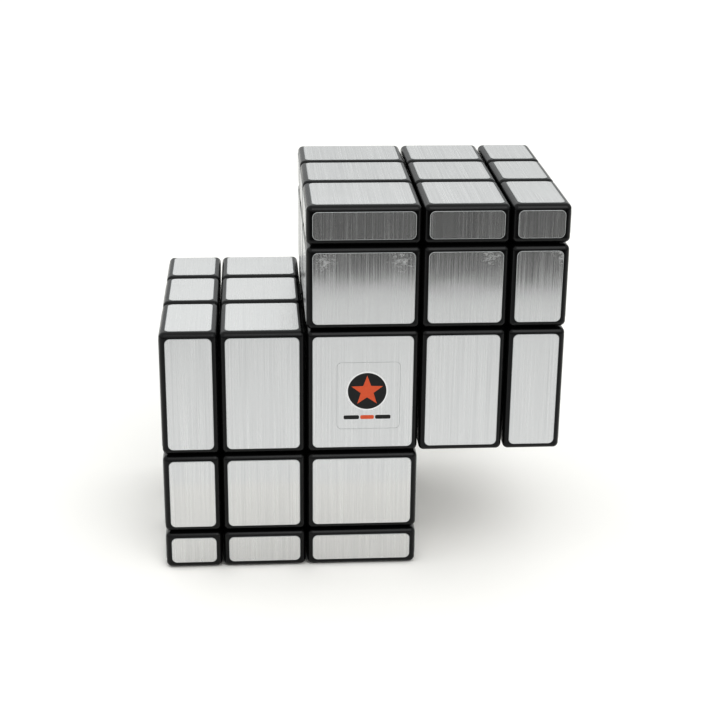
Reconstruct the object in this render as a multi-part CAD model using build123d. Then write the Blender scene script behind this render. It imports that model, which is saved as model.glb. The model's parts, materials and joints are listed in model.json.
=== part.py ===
from build123d import *

import os
from itertools import product
from math import cos, radians, sin, sqrt, tan

# A pair of mirror-block twisty cubes that share one column of blocks.
# Each cube has 3 x 3 x 3 blocks round its own core. Every middle layer is the same thickness and the
# outer layers differ, so all the blocks of a cube have different sizes. The lower cube stands on the
# ground. The upper cube is the same cube turned half round about the depth axis (Y), so that the two
# share the column at the lower cube's top right edge. Millimetres, +Z up, front face towards -Y,
# origin on the ground under the middle of the overall box.

# ---- driving dimensions ----
MIDDLE = 19.0  # every middle layer
LAYERS = (
    (13.0, MIDDLE, 25.0),  # lower cube, left to right
    (21.0, MIDDLE, 17.0),  # front to back
    (9.0, MIDDLE, 29.0),  # bottom to top
)
SEAM = 0.4  # gap between neighbouring blocks
EDGE_RADIUS = 1.2  # rounding of every block edge
WALL = 1.6  # casing wall
LIP = 1.0  # how far a lid reaches into its casing
LIP_PLAY = 0.1

# foil sheets on the outer faces
FOIL = 0.15
FOIL_MARGIN = 1.4  # from the nominal cut or outer face to the foil's edge
FOIL_CORNER = 1.2

# the turning mechanism: a neck below each block, and a wider foot held under its neighbours
NECK_ANGLE = 61.0  # half angle of the cone round each face axis that bounds the necks
FOOT_ANGLE = 69.5  # the same for the feet
FOOT_INNER = 12.3  # inner radius of the feet
FOOT_OUTER = 15.3  # outer radius of the feet
PLAY = 0.15  # clearance on each side of every sliding surface

# core, screws, washers and springs; heights are distances from the core's centre
HUB_RADIUS = 7.0
ARM_RADIUS = 3.6
ARM_END = 10.0
STEM_RADIUS = 4.0
STEM_END = 10.2
STEM_FLOOR = 11.8
POCKET_RADIUS = 3.2
POCKET_END = 16.4
CAP = 1.3  # thickness of a centre's snap-in cap
PLUG = 0.5  # how far a cap reaches into its centre
SCREW_RADIUS = 1.5
SCREW_TIP = 4.0
SCREW_HEAD = (2.7, 15.0, 16.2)  # radius, underside, top
SCREW_SLOT = (3.2, 0.7, 0.8)  # length, width, depth of the cross recess
SCREW_HOLE_END = 3.5
SCREW_PLAY = 0.08
WASHER = (1.7, 2.9, 14.6)  # inner radius, outer radius, underside
SPRING_RADIUS = 2.45
SPRING_WIRE = 0.3
SPRING_TURNS = 3
SPRING_SEAT_GAP = 0.02

# ---- derived sizes ----
HALF = MIDDLE / 2
BALL = HALF / cos(radians(NECK_ANGLE))  # where the flat cuts meet the neck cones
FAR = 70.0  # beyond every face
OVERALL_X = 2 * sum(LAYERS[0]) - LAYERS[0][2]
OVERALL_Y = sum(LAYERS[1])
OVERALL_Z = 2 * sum(LAYERS[2]) - LAYERS[2][2]
CORE_X = LAYERS[0][0] + HALF - OVERALL_X / 2
CORE_Y = LAYERS[1][0] + HALF - OVERALL_Y / 2
CORE_Z = LAYERS[2][0] + HALF

# Blocks are drawn round the origin for the lower cube, then placed in one cube or the other.
LOWER = Pos(CORE_X, CORE_Y, CORE_Z)
UPPER = Pos(-CORE_X, CORE_Y, OVERALL_Z - CORE_Z) * Rot(0, 180, 0)
LOWER_TO_UPPER = LOWER.inverse() * UPPER

X, Y, Z = range(3)
FACES = {
    (X, -1): ("left", Rot(0, -90, 0)),
    (X, 1): ("right", Rot(0, 90, 0)),
    (Y, -1): ("front", Rot(90, 0, 0)),
    (Y, 1): ("back", Rot(-90, 0, 0)),
    (Z, -1): ("bottom", Rot(180, 0, 0)),
    (Z, 1): ("top", Rot(0, 0, 0)),
}
KINDS = {1: "centre", 2: "edge", 3: "corner"}


# ---- small helpers ----
def box(bounds):
    """Box between the low and high values given for each axis."""
    middle = [(low + high) / 2 for low, high in bounds]
    return Pos(*middle) * Box(*[high - low for low, high in bounds])


def inset(bounds, by):
    return [(low + by, high - by) for low, high in bounds]


def replaced(bounds, axis, low, high):
    """The same bounds with one axis limited to low..high."""
    return [(low, high) if a == axis else span for a, span in enumerate(bounds)]


def post(radius, low, high):
    """Cylinder on the Z axis."""
    return Pos(0, 0, (low + high) / 2) * Cylinder(radius, high - low)


def outward(side, near, far):
    """Low and high value of a stretch that lies near..far from the core on one side."""
    return (near, far) if side > 0 else (-far, -near)


# ---- where the blocks are ----
def is_shared(key):
    return key[X] == 1 and key[Z] == 1


def is_hidden(key, axis):
    """A shared block's sides and top lie against the upper cube's blocks."""
    return is_shared(key) and axis != Y


def cell(axis, side):
    """Nominal low and high cut of a layer."""
    if side == 0:
        return (-HALF, HALF)
    return outward(side, HALF, HALF + LAYERS[axis][1 + side])


def block_bounds(key):
    """Plastic faces of a block: half a seam inside the cuts, one foil inside the outer faces."""
    bounds = []
    for axis, side in enumerate(key):
        low, high = cell(axis, side)
        skin = SEAM / 2 if is_hidden(key, axis) else FOIL
        bounds.append((low + (skin if side < 0 else SEAM / 2), high - (skin if side > 0 else SEAM / 2)))
    return bounds


def face_names(key):
    return "_".join(FACES[axis, side][0] for axis, side in enumerate(key) if side)


# ---- turning zones ----
def on_ray(angle, offset, radius):
    """Point (distance from axis, height) where a cone of that half angle, its surface moved inwards by
    offset, meets a sphere round the core."""
    apex = offset / sin(angle)
    along = sqrt(radius**2 - (apex * sin(angle)) ** 2) - apex * cos(angle)
    return (along * sin(angle), apex + along * cos(angle))


def arc_between(start, end):
    """Arc round the origin from one point to the other, in the XZ plane."""
    middle = Vector(start[0] + end[0], 0, start[1] + end[1]).normalized() * sqrt(start[0] ** 2 + start[1] ** 2)
    return ThreePointArc((start[0], 0, start[1]), middle, (end[0], 0, end[1]))


def turning_zone(offset):
    """All the space that turns with the top layer, shrunk by offset: a solid of revolution about +Z, so
    that the layer slides past its neighbours at every angle."""
    neck, foot = radians(NECK_ANGLE), radians(FOOT_ANGLE)
    plane_height = HALF + offset
    plane_end = ((plane_height - offset / sin(neck)) * tan(neck), plane_height)
    neck_end = on_ray(neck, offset, FOOT_OUTER - offset)
    foot_top = on_ray(foot, offset, FOOT_OUTER - offset)
    inner = FOOT_INNER + min(offset, 0)
    foot_end = on_ray(foot, offset, inner)
    corners = [(0, inner), (0, FAR), (FAR, FAR), (FAR, plane_height), plane_end, neck_end]
    outline = Polyline(*[(x, 0, z) for x, z in corners])
    outline += arc_between(neck_end, foot_top)
    outline += Line((foot_top[0], 0, foot_top[1]), (foot_end[0], 0, foot_end[1]))
    outline += arc_between(foot_end, (0, inner))
    return revolve(make_face(outline), Axis.Z, 360)


INSIDE = {face: turn * turning_zone(PLAY) for face, (_, turn) in FACES.items()}
OUTSIDE = {face: turn * turning_zone(-PLAY) for face, (_, turn) in FACES.items()}


def trimmed(key, shape):
    """Keeps the part of a shape that turns with this block's layers and clears every other layer."""
    for axis, side in enumerate(key):
        if side:
            shape = shape & INSIDE[axis, side]
        else:
            shape = shape - OUTSIDE[axis, -1] - OUTSIDE[axis, 1]
    return shape


# ---- blocks ----
def rounded_block(key):
    block = box(block_bounds(key))
    return fillet(block.edges(), EDGE_RADIUS)


def casing_and_feet(key):
    """A corner or edge block: a hollow casing, and a lid with a lip, a neck and a foot. A shared block
    has a lid and foot for each cube."""
    bounds = block_bounds(key)
    block = rounded_block(key)
    axis = Z if key[Z] else Y
    near = HALF + SEAM / 2
    lid_space = box(replaced(bounds, axis, *outward(key[axis], near, near + WALL)))
    lip_space = replaced(inset(bounds, WALL + LIP_PLAY), axis, *outward(key[axis], near + WALL, near + WALL + LIP))
    lip = box(lip_space) - Sphere(BALL + WALL + LIP_PLAY)
    lid = trimmed(key, (block & lid_space) + Sphere(BALL)) + lip
    cavity = box(inset(bounds, WALL)) - Sphere(BALL + WALL)
    taken = [lid_space, Sphere(BALL)]
    lids = [lid]
    if is_shared(key):
        lids.append(LOWER_TO_UPPER * lid)
        cavity -= LOWER_TO_UPPER * Sphere(BALL + WALL)
        taken += [LOWER_TO_UPPER * space for space in taken]
    casing = block - cavity
    for space in taken:
        casing -= space
    return [casing, *lids]


def centre_and_cap(key):
    """A centre block: a cup that turns on its screw, and the snap-in cap that hides the screw."""
    axis = next(a for a in (X, Y, Z) if key[a])
    side = key[axis]
    bounds = block_bounds(key)
    end = max(abs(value) for value in bounds[axis])
    block = rounded_block(key)
    hollow = inset(bounds, WALL)
    cap_space = box(replaced(bounds, axis, *outward(side, end - CAP, end)))
    turn = FACES[axis, side][1]
    cup = trimmed(key, block) + turn * post(STEM_RADIUS, STEM_END, FOOT_INNER + WALL)
    cup -= cap_space
    cup -= box(replaced(hollow, axis, *outward(side, POCKET_END, end)))
    cup -= turn * post(POCKET_RADIUS, STEM_FLOOR, end)
    cup -= turn * post(SCREW_RADIUS + SCREW_PLAY, 0, end)
    plug_space = replaced(inset(bounds, WALL + LIP_PLAY), axis, *outward(side, end - CAP - PLUG, end - CAP))
    return [cup, (block & cap_space) + box(plug_space)]


def foils(key):
    """One foil sheet for each outer face of a block."""
    sheets = []
    for axis, side in enumerate(key):
        if side == 0 or is_hidden(key, axis):
            continue
        end = HALF + LAYERS[axis][1 + side]
        outline = inset([cell(a, s) for a, s in enumerate(key)], FOIL_MARGIN)
        sheet = box(replaced(outline, axis, *outward(side, end - FOIL, end)))
        normal = (Axis.X, Axis.Y, Axis.Z)[axis]
        sheets.append(fillet(sheet.edges().filter_by(normal), FOIL_CORNER))
    return sheets


# ---- core and its fasteners ----
def core():
    spider = Sphere(HUB_RADIUS)
    for _, turn in FACES.values():
        spider += turn * post(ARM_RADIUS, 0, ARM_END)
    for _, turn in FACES.values():
        spider -= turn * post(SCREW_RADIUS, SCREW_HOLE_END, FAR)
    return spider


def screw():
    head_radius, underside, top = SCREW_HEAD
    length, width, depth = SCREW_SLOT
    head = post(head_radius, underside, top)
    head = fillet(head.edges().sort_by(Axis.Z)[-1], (top - underside) / 2)
    for angle in (0, 90):
        head -= Rot(0, 0, angle) * Pos(0, 0, top) * Box(length, width, 2 * depth)
    shank = post(SCREW_RADIUS, SCREW_TIP, underside)
    return head + chamfer(shank.edges().sort_by(Axis.Z)[0], SCREW_RADIUS / 2)


def washer():
    inner, outer, underside = WASHER
    return post(outer, underside, SCREW_HEAD[1]) - post(inner, underside, SCREW_HEAD[1])


def spring():
    low = STEM_FLOOR + SPRING_WIRE + SPRING_SEAT_GAP
    high = WASHER[2] - SPRING_WIRE - SPRING_SEAT_GAP
    path = Helix((high - low) / SPRING_TURNS, high - low, SPRING_RADIUS)
    section = Plane(path @ 0, z_dir=path % 0) * Circle(SPRING_WIRE)
    return Pos(0, 0, low) * sweep(section, path, is_frenet=True)


# ---- assembly ----
def lower_body(key):
    return ("lower_bottom_layer", "lower_middle_layer", "joined_layers")[1 + key[Z]]


def upper_body(key):
    """The key is the block's place in the lower cube, before the half turn."""
    return ("upper_right_layer", "upper_middle_layer", "joined_layers")[1 + key[X]]


def save(name, solids, place):
    placed = [place * solid for solid in solids]
    export_step(Compound(children=placed) if len(placed) > 1 else placed[0], f"parts/{name}.step")


os.makedirs("parts", exist_ok=True)
sheets_on = {}
for key in product((-1, 0, 1), repeat=3):
    kind = KINDS.get(sum(map(abs, key)))
    if kind is None:
        continue
    solids = centre_and_cap(key) if kind == "centre" else casing_and_feet(key)
    turned = (-key[X], key[Y], -key[Z])
    sheets_on.setdefault(lower_body(key), []).extend(LOWER * sheet for sheet in foils(key))
    if is_shared(key):
        depth = FACES[Y, key[Y]][0] if key[Y] else "middle"
        save(f"shared_{kind}_{depth}", solids, LOWER)
        continue
    sheets_on.setdefault(upper_body(key), []).extend(UPPER * sheet for sheet in foils(key))
    save(f"lower_{kind}_{face_names(key)}", solids, LOWER)
    save(f"upper_{kind}_{face_names(turned)}", solids, UPPER)

for body, sheets in sheets_on.items():
    save(f"foils_{body}", sheets, Pos(0, 0, 0))

turns = [turn for _, turn in FACES.values()]
for name, place in (("lower", LOWER), ("upper", UPPER)):
    save(f"{name}_core", [core()], place)
    save(f"{name}_core_screws", [turn * part for turn in turns for part in (screw(), washer())], place)
    save(f"{name}_core_springs", [turn * spring() for turn in turns], place)
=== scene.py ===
import json
from math import cos, pi, radians, sin
from random import Random

import bmesh
import bpy
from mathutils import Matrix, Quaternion, Vector


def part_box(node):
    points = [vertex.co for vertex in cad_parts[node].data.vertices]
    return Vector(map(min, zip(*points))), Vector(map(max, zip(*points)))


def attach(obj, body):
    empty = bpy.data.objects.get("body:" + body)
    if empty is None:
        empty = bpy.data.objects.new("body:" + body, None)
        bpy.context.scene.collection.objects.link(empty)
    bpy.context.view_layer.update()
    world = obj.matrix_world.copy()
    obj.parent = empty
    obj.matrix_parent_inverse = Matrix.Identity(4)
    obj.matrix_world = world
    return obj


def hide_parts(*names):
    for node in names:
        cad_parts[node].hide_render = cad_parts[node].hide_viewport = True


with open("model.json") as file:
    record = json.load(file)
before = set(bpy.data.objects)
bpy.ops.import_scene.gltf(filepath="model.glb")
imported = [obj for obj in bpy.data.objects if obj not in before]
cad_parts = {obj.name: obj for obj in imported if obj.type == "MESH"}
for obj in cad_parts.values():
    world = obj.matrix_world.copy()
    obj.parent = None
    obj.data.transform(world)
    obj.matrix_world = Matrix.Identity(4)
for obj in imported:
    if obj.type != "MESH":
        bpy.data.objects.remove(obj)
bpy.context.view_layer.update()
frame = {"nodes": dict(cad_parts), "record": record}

MM = 0.001

# ---- foil sheets ----
FILM_CORNER = 1.2 * MM
PRINT_ROOM = 0.04 * MM  # what each sheet lacks of its CAD solid's thickness, so that a label fits on top
RIM_WIDTH = 0.13 * MM  # the cut edge rolls down over this width
RIM_DROP = 0.08 * MM
RIM_STEPS = 4
CORNER_STEPS = 10
TILT = 0.004  # how far a sheet's reflection leans, as a slope
MAP_SHIFT = (1, 10)  # how far along each way of its map a sheet lies, at least and at most
SEED = 20
# three sheets have nicks near their upper corners: the spot's place across and up from the middle,
# and how far from it they lie to both sides
WORN = {
    "foil_upper_edge_left_front_on_front": Vector((-0.2, 6.0, 8.2)) * MM,
    "foil_upper_centre_front_on_front": Vector((5.2, 7.0, 0)) * MM,
    "foil_upper_edge_right_front_on_front": Vector((5.0, 7.2, 0)) * MM,
}
WELD = 0.001 * MM  # corners this close are one vertex
TOUCHING = 0.05 * MM  # solids this close lie face to face
FACE_NAMES = {
    (0, -1): "left",
    (0, 1): "right",
    (1, -1): "front",
    (1, 1): "back",
    (2, -1): "bottom",
    (2, 1): "top",
}

# ---- the label on the front of the shared column ----
LABELLED = "foil_shared_corner_front_on_front"
LABEL_CENTRE = (1.25 * MM, -0.75 * MM)  # across and up from the middle of that sheet
LABEL_SIZE = (14.0 * MM, 15.8 * MM)
LABEL_CORNER = 1.0 * MM
LABEL_EDGE = 0.11 * MM
LAYER = 0.012 * MM  # thickness of the label and of each layer printed on it
DISC_CENTRE = (-0.3 * MM, 1.1 * MM)  # across and up from the middle of the label
DISC_RADIUS = 4.25 * MM
BACKING_RADIUS = 4.6 * MM
CIRCLE_STEPS = 72
STAR_TIP = 3.7 * MM
STAR_NOTCH = 1.5 * MM
STAR_POINTS = 5
# where the middle of each bar of the rule lies across from the disc, and its length
RULE_BARS = ((-3.45 * MM, 3.4 * MM), (0.05 * MM, 3.0 * MM), (3.55 * MM, 3.4 * MM))
RULE_UP = -5.1 * MM
RULE_HEIGHT = 0.9 * MM
RULE_CORNER = 0.3 * MM

# ---- camera ----
VIEW_TARGET = Vector((-0.7, -28.5, 50.2)) * MM
VIEW_DISTANCE = 341 * MM
VIEW_AZIMUTH = radians(-4.09)
VIEW_ELEVATION = radians(20.78)
VIEW_ROLL = radians(0.58)
LENS = 78.04
SENSOR = 36.0
CLIP = (0.01, 20)

# ---- studio ----
FLOOR_SIZE = 12.0
# in reflections the white sheet dims, folds and ends in front of the puzzle, and dark ground follows;
# the dimming and the darkening at the fold are painted shade in the sheet's colour, for light falling
# off towards the front
SHEET_SHADE_START, SHEET_FOLD, SHEET_END, GROUND_END = -0.07, -0.219, -0.240, -1.5  # places along Y
SHEET_TONE, FOLD_SHADE_TONE, GROUND_TONE = 0.90, 0.66, 0.01  # how pale it is at the first three
GROUND_HEIGHT = 1 * MM
HORIZON, SKY = 0.60, 0.81  # strength of the light low down and from above
DUSK = (0.24, 0.32)  # sines of the elevations between which it grows
SKY_TINT = (0.985, 1, 1, 1)
LAMP_PLACE = Vector((0.14, -0.42, 0.45))
LAMP_SIZE = 0.4
LAMP_POWER = 0.55


# ---- node helpers ----
class Shader:
    """A new material with a Principled shader, and short calls to add and join its nodes."""

    def __init__(self, name, **constants):
        self.material = bpy.data.materials.new(name)
        self.material.use_nodes = True
        self.tree = self.material.node_tree
        self.surface = self.tree.nodes["Principled BSDF"]
        for socket, value in constants.items():
            self.surface.inputs[socket.replace("_", " ")].default_value = value

    def node(self, kind, inputs=None, **settings):
        made = self.tree.nodes.new("ShaderNode" + kind)
        for name, value in settings.items():
            setattr(made, name, value)
        for socket, value in (inputs or {}).items():
            self.feed(made.inputs[socket], value)
        return made

    def feed(self, socket, value):
        if isinstance(value, bpy.types.NodeSocket):
            self.tree.links.new(value, socket)
        else:
            socket.default_value = value

    def set(self, socket, value):
        self.feed(self.surface.inputs[socket], value)

    def own_place(self):
        return self.node("TexCoord").outputs["Object"]

    def attribute(self, name):
        return self.node("Attribute", attribute_name=name).outputs["Vector"]

    def parts(self, vector):
        """The three numbers of a vector."""
        return self.node("SeparateXYZ", {0: vector}).outputs

    def scaled(self, vector, scale):
        """The vector times a scale for each axis."""
        return self.node("Mapping", {"Vector": vector, "Scale": scale}).outputs[0]

    def vectors(self, operation, first, second):
        return self.node("VectorMath", {0: first, 1: second}, operation=operation).outputs[0]

    def maths(self, operation, *values):
        return self.node("Math", dict(enumerate(values)), operation=operation).outputs[0]

    def noise(self, vector, scale=1.0, detail=2.0, roughness=0.5):
        inputs = {"Vector": vector, "Scale": scale, "Detail": detail, "Roughness": roughness}
        return self.node("TexNoise", inputs).outputs["Fac"]

    def ranged(self, value, low, high, to_low, to_high):
        """A value from low..high carried over to to_low..to_high, and held there."""
        inputs = {
            "Value": value,
            "From Min": low,
            "From Max": high,
            "To Min": to_low,
            "To Max": to_high,
        }
        return self.node("MapRange", inputs).outputs[0]

    def blend(self, share, first, second):
        """A share of the second colour over the first. A Mix node takes its colours at 6 and 7."""
        return self.node("Mix", {0: share, 6: first, 7: second}, data_type="RGBA").outputs[2]

    def bump(self, height, distance, normal=None):
        inputs = {"Height": height, "Distance": distance, "Strength": 1.0}
        if normal is not None:
            inputs["Normal"] = normal
        return self.node("Bump", inputs).outputs[0]


def grey(level):
    return (level, level, level, 1)


# ---- materials: the scales of noise are in waves to the metre ----
def block_plastic():
    """Black moulded plastic: a satin gloss with faint flow marks, grain, hairline scratches and dust."""
    made = Shader("block_plastic", IOR=1.5, Specular_IOR_Level=0.4)
    place = made.own_place()
    cloudy = made.noise(place, 90, 3)
    grain = made.noise(place, 3200, 2)
    scratches = made.noise(made.scaled(place, (400, 5200, 900)))
    dust = made.noise(place, 1500, 4, 0.7)
    specks = made.ranged(dust, 0.72, 0.8, 0, 0.5)
    black = made.blend(cloudy, (0.004, 0.004, 0.0042, 1), (0.008, 0.008, 0.0083, 1))
    made.set("Base Color", made.blend(specks, black, grey(0.08)))
    gloss = made.ranged(cloudy, 0.3, 0.7, 0.17, 0.27)
    worn = made.ranged(scratches, 0.62, 0.75, 0, 0.12)
    made.set("Roughness", made.maths("ADD", gloss, worn))
    height = made.maths("ADD", grain, made.maths("MULTIPLY", cloudy, 3.0))
    made.set("Normal", made.bump(height, 0.004 * MM))
    return made.material


def nicked_share(made, place):
    """How far each point is nicked: most of all around the spot that "worn" gives."""
    worn = made.attribute("worn")
    across, up, _ = made.parts(made.vectors("SUBTRACT", place, worn))
    spread = made.parts(worn)[2]
    aside = made.maths("SUBTRACT", made.maths("ABSOLUTE", across), spread)
    squares = [made.maths("POWER", value, 2) for value in (aside, up)]
    reach = made.maths("SQRT", made.maths("ADD", *squares))
    patch = made.ranged(reach, 0.5 * MM, 4.5 * MM, 0.22, 0)
    nicks = made.noise(made.scaled(place, (800, 1300, 1)), detail=9, roughness=0.8)
    return made.ranged(made.maths("ADD", nicks, patch), 0.69, 0.84, 0, 0.8)


def brushed_foil(name="brushed_foil", **constants):
    """Silver film, brushed along the second direction of its map: near a mirror along the brushing
    and blurred across it, with soft waves, a few rubbed patches and white nicks."""
    made = Shader(name, Metallic=0.82, Anisotropic=1.0, **constants)
    place = made.node("UVMap", uv_map="brush").outputs[0]
    fine = made.noise(made.scaled(place, (9000, 40, 1)), detail=3, roughness=0.6)
    wide = made.noise(made.scaled(place, (2600, 14, 1)))
    waves = made.noise(place, 110, 1)
    lines = made.maths(
        "ADD",
        made.maths("MULTIPLY", fine, 0.65),
        made.maths("MULTIPLY", wide, 0.35),
    )
    light_lines = made.ranged(lines, 0.3, 0.7, 0, 1)
    silver = made.blend(light_lines, (0.555, 0.555, 0.555, 1), (0.725, 0.725, 0.72, 1))
    rubbing = made.noise(made.scaled(place, (260, 900, 1)), detail=5, roughness=0.75)
    rubbed = made.ranged(rubbing, 0.68, 0.82, 0, 0.5)
    nicked = nicked_share(made, place)
    made.set("Base Color", made.blend(nicked, made.blend(rubbed, silver, grey(0.7)), grey(0.86)))
    gloss = made.ranged(lines, 0.36, 0.66, 0.09, 0.31)
    made.set("Roughness", made.maths("ADD", gloss, made.maths("MULTIPLY", nicked, 0.6)))
    tangent = made.node("Tangent", direction_type="UV_MAP", uv_map="brush")
    made.set("Tangent", tangent.outputs[0])
    facing = made.node("NewGeometry").outputs["Normal"]
    leaning = made.vectors("ADD", facing, made.attribute("lean"))
    wavy = made.bump(waves, 0.02 * MM, leaning)
    made.set("Normal", made.bump(lines, 0.002 * MM, wavy))
    return made.material


def cut_film():
    """The pale cut edge of a foil sheet."""
    made = Shader("cut_film", Roughness=0.4)
    speckle = made.noise(made.own_place(), 2500, 3)
    made.set("Base Color", made.blend(speckle, (0.30, 0.31, 0.31, 1), (0.42, 0.43, 0.43, 1)))
    return made.material


def ink(name, dark, light):
    """Printing ink: slightly uneven, with a soft gloss."""
    made = Shader(name)
    place = made.own_place()
    made.set("Base Color", made.blend(made.noise(place, 2200, 3), dark, light))
    made.set("Roughness", made.ranged(made.noise(place, 900), 0.3, 0.7, 0.34, 0.5))
    return made.material


def core_plastic():
    """Pale, waxy moulded plastic, greyed where grease has gathered."""
    made = Shader("core_plastic", Subsurface_Weight=0.05)
    place = made.own_place()
    grease = made.noise(place, 260, 4)
    made.set("Base Color", made.blend(grease, (0.74, 0.73, 0.69, 1), (0.55, 0.54, 0.5, 1)))
    made.set("Roughness", made.ranged(grease, 0.3, 0.7, 0.5, 0.28))
    made.set("Normal", made.bump(made.noise(place, 2600), 0.004 * MM))
    return made.material


def steel(name, dark, light, roughness):
    """Bright steel with a fine, faintly uneven finish."""
    made = Shader(name, Metallic=1.0)
    marks = made.noise(made.own_place(), 3000, 3)
    made.set("Base Color", made.blend(marks, dark, light))
    made.set("Roughness", made.ranged(marks, 0.3, 0.7, roughness, roughness + 0.12))
    made.set("Normal", made.bump(marks, 0.003 * MM))
    return made.material


FOIL = brushed_foil()
FILM_EDGE = cut_film()
CAD_MATERIALS = {
    "block_plastic": block_plastic(),
    "core_plastic": core_plastic(),
    "zinc_steel": steel("zinc_steel", (0.45, 0.46, 0.46, 1), (0.66, 0.66, 0.64, 1), 0.24),
    "spring_steel": steel("spring_steel", (0.3, 0.3, 0.31, 1), (0.5, 0.5, 0.52, 1), 0.3),
}


def coat_cad_nodes():
    """Gives every CAD node that stays the material of its slot."""
    slots = {part["node"]: part["material_slot"] for part in frame["record"]["subparts"]}
    for node, part in frame["nodes"].items():
        if slots[node] in CAD_MATERIALS:
            part.data.materials.clear()
            part.data.materials.append(CAD_MATERIALS[slots[node]])


# ---- mesh helpers ----
def rounded_outline(width, height, radius):
    """Points of a rounded rectangle round the origin, counter-clockwise, and the way out at each."""
    points = []
    for corner in range(4):
        sign_u = 1 if corner in (0, 3) else -1
        sign_v = 1 if corner in (0, 1) else -1
        centre = Vector((sign_u * (width / 2 - radius), sign_v * (height / 2 - radius)))
        for step in range(CORNER_STEPS + 1):
            angle = (corner + step / CORNER_STEPS) * pi / 2
            out = Vector((cos(angle), sin(angle)))
            points.append((centre + out * radius, out))
    return points


def film_mesh():
    """An empty mesh whose vertices have room for what the foil's material reads."""
    mesh = bmesh.new()
    for layer in ("lean", "worn"):
        mesh.verts.layers.float_vector.new(layer)
    return mesh


def skin(mesh, rings):
    """The quads between each ring of vertices and the next."""
    quads = []
    for low, high in zip(rings, rings[1:]):
        for i in range(len(low)):
            j = (i + 1) % len(low)
            quads.append(mesh.faces.new((low[i], low[j], high[j], high[i])))
    return quads


def mapped(mesh, middle, across, along, shift, leaning, worn=Vector()):
    """Gives every corner its place on the map, and every vertex the sheet's lean and worn spot. A
    spot that isn't given lies at the start of the map, which is far from the sheet."""
    brush = mesh.loops.layers.uv.new("brush")
    lean = mesh.verts.layers.float_vector["lean"]
    spot = mesh.verts.layers.float_vector["worn"]
    for vertex in mesh.verts:
        vertex[lean] = leaning
        vertex[spot] = worn
    for face in mesh.faces:
        for loop in face.loops:
            place = loop.vert.co - middle
            loop[brush].uv = Vector((place.dot(across), place.dot(along))) + shift


def finished(mesh, name, materials, body):
    """A piece made of the mesh, which rides on the body and has the given materials."""
    data = bpy.data.meshes.new(name)
    mesh.to_mesh(data)
    mesh.free()
    for material in materials:
        data.materials.append(material)
    piece = bpy.data.objects.new(name, data)
    bpy.context.scene.collection.objects.link(piece)
    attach(piece, body)
    return piece


# ---- foil sheets ----
def solids_in(node):
    """Lowest and highest corner of each separate solid in a CAD node."""
    mesh = bmesh.new()
    mesh.from_mesh(frame["nodes"][node].data)
    bmesh.ops.remove_doubles(mesh, verts=mesh.verts, dist=WELD)
    left, boxes = set(mesh.verts), []
    while left:
        found, todo = [], [left.pop()]
        while todo:
            vertex = todo.pop()
            found.append(vertex.co.copy())
            for edge in vertex.link_edges:
                other = edge.other_vert(vertex)
                if other in left:
                    left.remove(other)
                    todo.append(other)
        low, high = (Vector(pick(co[a] for co in found) for a in range(3)) for pick in (min, max))
        boxes.append((low, high))
    mesh.free()
    return sorted(boxes, key=lambda box: tuple(round(c, 5) for c in box[0]))


def block_behind(low, high, axis, blocks):
    """The block that a sheet is stuck on, and 1 or -1 for the way the sheet faces."""
    middle = (low + high) / 2
    others = [a for a in range(3) if a != axis]
    for node, (block_low, block_high) in blocks.items():
        if all(block_low[a] < middle[a] < block_high[a] for a in others):
            gaps = {1: low[axis] - block_high[axis], -1: block_low[axis] - high[axis]}
            for side, gap in gaps.items():
                if abs(gap) < TOUCHING:
                    return node, side
    raise ValueError(f"no block behind the sheet at {middle}")


def rim_profile(thickness):
    """How far in and how high each ring of a sheet's side and rolled rim lies."""
    profile = [(0, 0), (0, thickness - RIM_DROP)]
    for step in range(1, RIM_STEPS + 1):
        angle = step / RIM_STEPS * pi / 2
        profile.append((RIM_WIDTH * (1 - cos(angle)), thickness - RIM_DROP * (1 - sin(angle))))
    return profile


def foil_sheet(name, low, high, axis, side, body, source, chance):
    """A film with rounded corners, a flat brushed face and a rim that rolls down to the block.
    Returns the middle of its face, the shift of its map and its lean."""
    outward = Vector(side if a == axis else 0 for a in range(3))
    along = Vector((0, 1, 0)) if axis == 2 else Vector((0, 0, 1))
    across = along.cross(outward)
    middle = (low + high) / 2
    size = high - low
    width, height = (abs(size.dot(way)) for way in (across, along))
    base = middle - outward * size[axis] / 2
    outline = rounded_outline(width, height, FILM_CORNER)
    mesh = film_mesh()
    rings = []
    for inward, rise in rim_profile(size[axis] - PRINT_ROOM):
        ring = []
        for point, out in outline:
            flat = point - out * inward
            ring.append(mesh.verts.new(base + across * flat.x + along * flat.y + outward * rise))
        rings.append(ring)
    for quad in skin(mesh, rings):
        quad.material_index = 1
        quad.smooth = True
    mesh.faces.new(rings[-1])
    mesh.faces.new(list(reversed(rings[0]))).material_index = 1
    leaning = across * chance.uniform(-TILT, TILT) + along * chance.uniform(-TILT, TILT)
    shift = Vector((chance.uniform(*MAP_SHIFT), chance.uniform(*MAP_SHIFT)))
    worn = Vector((*shift, 0)) + WORN[name] if name in WORN else Vector()
    mapped(mesh, middle, across, along, shift, leaning, worn)
    piece = finished(mesh, name, (FOIL, FILM_EDGE), body)
    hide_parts(source)
    return middle + outward * (size[axis] / 2 - PRINT_ROOM), shift, leaning


def foil_sheets():
    """Lays all the sheets, and returns what foil_sheet says of the labelled one."""
    chance = Random(SEED)
    laid = {}
    for body, nodes in frame["record"]["behaviour"]["bodies"].items():
        source = "foils_" + body
        blocks = {node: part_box(node) for node in nodes if node != source and "_core" not in node}
        for low, high in solids_in(source):
            size = high - low
            axis = min(range(3), key=lambda a: size[a])
            node, side = block_behind(low, high, axis, blocks)
            name = f"foil_{node}_on_{FACE_NAMES[axis, side]}"
            laid[name] = foil_sheet(name, low, high, axis, side, body, source, chance)
    return laid[LABELLED]


# ---- label: an outline is a closed list of (across, up) points, counter-clockwise ----
def circle(radius):
    angles = [i / CIRCLE_STEPS * 2 * pi for i in range(CIRCLE_STEPS)]
    return [(radius * cos(angle), radius * sin(angle)) for angle in angles]


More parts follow.
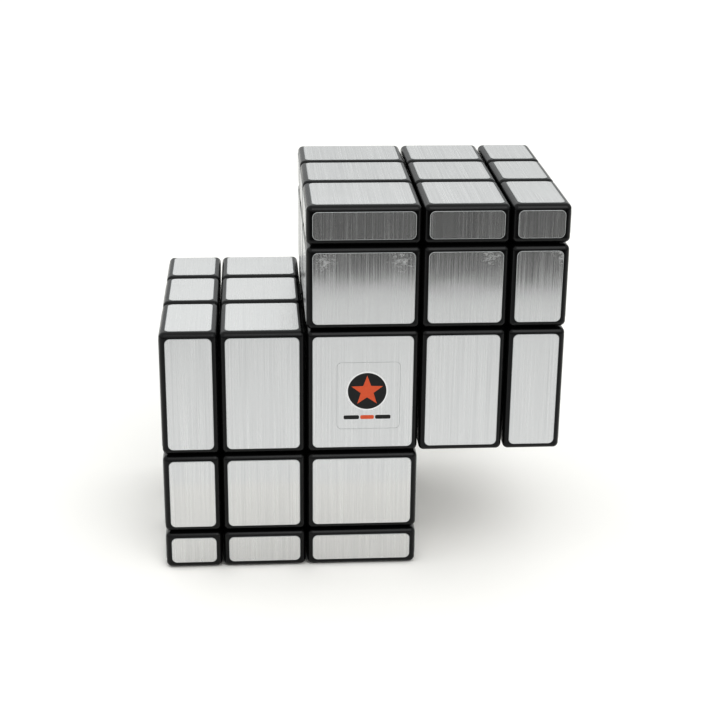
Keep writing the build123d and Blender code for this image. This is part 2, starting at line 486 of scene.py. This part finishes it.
def star():
    """A plain star with one tip up."""
    turns = [pi / 2 + i * pi / STAR_POINTS for i in range(2 * STAR_POINTS)]
    radii = [STAR_TIP, STAR_NOTCH] * STAR_POINTS
    return [(radius * cos(turn), radius * sin(turn)) for radius, turn in zip(radii, turns)]


def bar(width, height, radius):
    return [tuple(point) for point, _ in rounded_outline(width, height, radius)]


def moved(outline, across, up):
    return [(u + across, v + up) for u, v in outline]


def printed(name, outline, centre, level, material, face=None):
    """A thin layer of the label, which lies level layers above the sheet. face is what foil_sheet
    returns for the sheet below, for a layer that shows its brushing."""
    mesh = film_mesh()
    rings = []
    for rise in (level, level + 1):
        y = centre.y - rise * LAYER
        rings.append([mesh.verts.new((centre.x + u, y, centre.z + v)) for u, v in outline])
    skin(mesh, rings)
    mesh.faces.new(rings[1])
    mesh.faces.new(list(reversed(rings[0])))
    bmesh.ops.recalc_face_normals(mesh, faces=mesh.faces)
    if face:
        middle, shift, leaning = face
        mapped(mesh, middle, Vector((1, 0, 0)), Vector((0, 0, 1)), shift, leaning)
    return finished(mesh, name, (material,), "joined_layers")


def label(face):
    """A clear label with a plain mark of its own: a star on a disc, over a short three-part rule."""
    centre = face[0] + Vector((LABEL_CENTRE[0], 0, LABEL_CENTRE[1]))
    film = brushed_foil("foil_under_label", Coat_Weight=0.25, Coat_Roughness=0.2)
    black = ink("black_ink", grey(0.010), grey(0.016))
    orange = ink("orange_ink", (0.50, 0.085, 0.03, 1), (0.58, 0.11, 0.04, 1))
    white = ink("white_ink", grey(0.62), grey(0.7))
    width, height = LABEL_SIZE
    edge = bar(width, height, LABEL_CORNER)
    inside = bar(width - 2 * LABEL_EDGE, height - 2 * LABEL_EDGE, LABEL_CORNER - LABEL_EDGE)
    printed("label_edge", edge, centre, 0, FILM_EDGE)
    printed("label_film", inside, centre, 0.2, film, face)
    printed("label_backing", moved(circle(BACKING_RADIUS), *DISC_CENTRE), centre, 1.2, white)
    printed("label_disc", moved(circle(DISC_RADIUS), *DISC_CENTRE), centre, 1.5, black)
    printed("label_star", moved(star(), *DISC_CENTRE), centre, 2.0, orange)
    for index, (across, length) in enumerate(RULE_BARS):
        rule = moved(bar(length, RULE_HEIGHT, RULE_CORNER), DISC_CENTRE[0] + across, RULE_UP)
        colour = orange if index == 1 else black
        printed(f"label_rule_{index + 1}", rule, centre, 1.2, colour)


# ---- stage, light and camera ----
def stage_strip(name, width, profile, material):
    """A sheet that follows a profile of (y, z) points."""
    corners = [(x, y, z) for y, z in profile for x in (-width / 2, width / 2)]
    faces = [(2 * i, 2 * i + 1, 2 * i + 3, 2 * i + 2) for i in range(len(profile) - 1)]
    mesh = bpy.data.meshes.new(name)
    mesh.from_pydata(corners, [], faces)
    mesh.materials.append(material)
    strip = bpy.data.objects.new(name, mesh)
    bpy.context.scene.collection.objects.link(strip)
    return strip


def floor():
    paper = Shader("paper", Roughness=0.9, Specular_IOR_Level=0.2)
    mottled = paper.noise(paper.own_place(), 12, 3)
    tone = paper.blend(mottled, (0.93, 0.915, 0.89, 1), (0.945, 0.93, 0.905, 1))
    paper.set("Base Color", tone)
    ends = [(-FLOOR_SIZE / 2, 0), (FLOOR_SIZE / 2, 0)]
    stage_strip("floor", FLOOR_SIZE, ends, paper.material)


def dark_ground():
    """The end of the white sheet and the dark ground beyond it, seen only in reflections. The sheet's
    dimming towards the fold and its darkening at the fold are painted shade in its colour.
    """
    cloth = Shader("dark_cloth_and_sheet_shade", Roughness=0.9, Specular_IOR_Level=0.1)
    depth = cloth.parts(cloth.own_place())[1]
    # painted shade: the sheet's tone falls from pale to the fold tone, and from there to the dark ground
    fold_shade_to_ground = cloth.ranged(depth, SHEET_END, SHEET_FOLD, GROUND_TONE, FOLD_SHADE_TONE)
    painted_dimming = cloth.ranged(depth, SHEET_FOLD, SHEET_SHADE_START, 0, SHEET_TONE - FOLD_SHADE_TONE)
    level = cloth.maths("ADD", fold_shade_to_ground, painted_dimming)
    mottling = cloth.ranged(cloth.noise(cloth.own_place(), 300, 3), 0, 1, 0.95, 1.05)
    cloth.set("Base Color", cloth.maths("MULTIPLY", level, mottling))
    ends = [(SHEET_SHADE_START, GROUND_HEIGHT), (GROUND_END, GROUND_HEIGHT)]
    ground = stage_strip("dark_ground", FLOOR_SIZE, ends, cloth.material)
    for seen_by in ("camera", "diffuse", "transmission", "shadow", "volume_scatter"):
        setattr(ground, "visible_" + seen_by, False)


def sky():
    """Soft light from all round, stronger from above."""
    world = bpy.data.worlds.new("studio")
    world.use_nodes = True
    nodes, links = world.node_tree.nodes, world.node_tree.links
    direction = nodes.new("ShaderNodeTexCoord")
    split = nodes.new("ShaderNodeSeparateXYZ")
    strength = nodes.new("ShaderNodeMapRange")
    strength.interpolation_type = "SMOOTHSTEP"
    ends = {"From Min": DUSK[0], "From Max": DUSK[1], "To Min": HORIZON, "To Max": SKY}
    for socket, value in ends.items():
        strength.inputs[socket].default_value = value
    background = nodes["Background"]
    background.inputs["Color"].default_value = SKY_TINT
    links.new(direction.outputs["Generated"], split.inputs[0])
    links.new(split.outputs[2], strength.inputs["Value"])
    links.new(strength.outputs[0], background.inputs["Strength"])
    bpy.context.scene.world = world


def lamp():
    """A square soft lamp that points at the origin."""
    area = bpy.data.lights.new("key", "AREA")
    area.size = LAMP_SIZE
    area.energy = LAMP_POWER
    made = bpy.data.objects.new("key", area)
    made.location = LAMP_PLACE
    made.rotation_mode = "QUATERNION"
    made.rotation_quaternion = LAMP_PLACE.to_track_quat("Z", "Y")
    bpy.context.scene.collection.objects.link(made)


def camera():
    data = bpy.data.cameras.new("camera")
    data.lens, data.sensor_width = LENS, SENSOR
    data.clip_start, data.clip_end = CLIP
    made = bpy.data.objects.new("camera", data)
    back = Vector((
        sin(VIEW_AZIMUTH) * cos(VIEW_ELEVATION),
        -cos(VIEW_AZIMUTH) * cos(VIEW_ELEVATION),
        sin(VIEW_ELEVATION),
    ))
    made.location = VIEW_TARGET + back * VIEW_DISTANCE
    made.rotation_mode = "QUATERNION"
    made.rotation_quaternion = (-back).to_track_quat("-Z", "Y") @ Quaternion((0, 0, 1), VIEW_ROLL)
    bpy.context.scene.collection.objects.link(made)
    bpy.context.scene.camera = made


camera()
floor()
dark_ground()
sky()
lamp()
bpy.context.scene.view_settings.view_transform = "Standard"
bpy.context.scene.view_settings.look = "High Contrast"
coat_cad_nodes()
label(foil_sheets())
